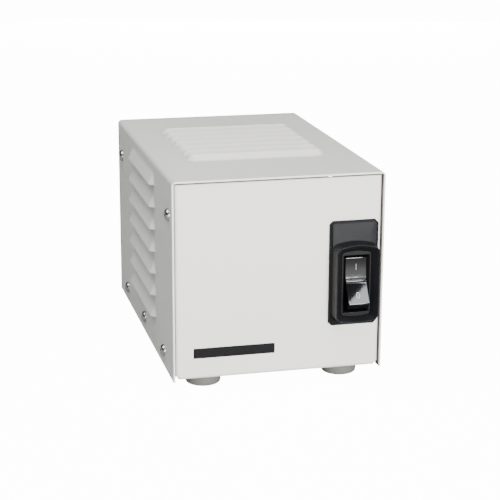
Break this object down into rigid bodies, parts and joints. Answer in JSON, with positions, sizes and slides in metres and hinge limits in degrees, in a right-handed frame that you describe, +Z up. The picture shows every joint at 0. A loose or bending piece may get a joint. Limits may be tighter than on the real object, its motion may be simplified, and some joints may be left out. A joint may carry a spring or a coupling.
{
  "type": "isolation transformer",
  "caption": "Free-standing bench isolation transformer in a louvred sheet-steel case on round feet, with a rocker power switch in front and a mains inlet and duplex outlet behind.",
  "frame": {"origin": "on the table surface, under the centre of the overall box, with the feet standing on Z zero and the rocker on", "axes": "+X to the right as seen by a user who faces the switch, +Y from the front panel to the rear panel, +Z up"},
  "size_m": [0.1334, 0.2098, 0.13],
  "materials": {
    "case_paint": "fine satin light grey paint",
    "zinc_steel": "zinc plated",
    "screw_steel": "bright plated",
    "foot_rubber": "moulded matt grey",
    "bezel_plastic": "satin black",
    "switch_plastic": "satin black",
    "rocker_plastic": "moulded, half gloss",
    "contact_brass": "plain",
    "lamination_steel": "varnished edges",
    "bobbin_plastic": "moulded nylon",
    "copper_wire": "enamelled",
    "screen_foil": "bare foil",
    "coil_tape": "polyester tape",
    "fibre_board": "pressed fibre",
    "socket_plastic": "satin black",
    "outlet_plastic": "moulded, half gloss",
    "tinned_brass": "tinned",
    "wire_black": "insulation",
    "wire_white": "insulation",
    "wire_green": "insulation"
  },
  "bodies": {
    "case": {"cover": "case_paint", "chassis": "case_paint", "cover_screws": "screw_steel", "foot_front_left": "foot_rubber", "foot_front_right": "foot_rubber", "foot_rear_left": "foot_rubber", "foot_rear_right": "foot_rubber", "foot_screws": "screw_steel", "foot_nuts": "screw_steel", "switch_bezel": "bezel_plastic", "switch_housing": "switch_plastic", "switch_terminals": "contact_brass", "e_laminations": "lamination_steel", "i_laminations": "lamination_steel", "coil_bobbin": "bobbin_plastic", "primary_winding": "copper_wire", "winding_screen": "screen_foil", "secondary_winding": "copper_wire", "coil_wrap": "coil_tape", "mounting_angle_left": "zinc_steel", "mounting_angle_right": "zinc_steel", "core_bolts": "zinc_steel", "core_washers": "fibre_board", "core_nuts": "zinc_steel", "mounting_screws": "screw_steel", "mounting_nuts": "zinc_steel", "inlet_body": "socket_plastic", "inlet_pins": "tinned_brass", "inlet_screws": "screw_steel", "inlet_nuts": "zinc_steel", "outlet_face": "outlet_plastic", "outlet_base": "outlet_plastic", "outlet_strap": "zinc_steel", "outlet_contacts": "contact_brass", "outlet_earth_contact": "contact_brass", "outlet_screws": "screw_steel", "outlet_terminal_screws": "contact_brass", "earth_stud": "zinc_steel", "earth_nut": "zinc_steel", "earth_rings": "tinned_brass", "push_on_connectors": "tinned_brass", "live_lead": "wire_black", "neutral_lead": "wire_white", "switched_lead": "wire_black", "outlet_live_lead": "wire_black", "outlet_neutral_lead": "wire_white", "inlet_earth_lead": "wire_green", "outlet_earth_lead": "wire_green"},
    "rocker": {"rocker": "rocker_plastic"}
  },
  "joints": [
    {"name": "rocker_tilt", "type": "hinge", "parent": "case", "child": "rocker", "pos_m": [0.045, -0.09205, 0.0615], "axis": [1, 0, 0], "range_deg": [0, 36]}
  ]
}
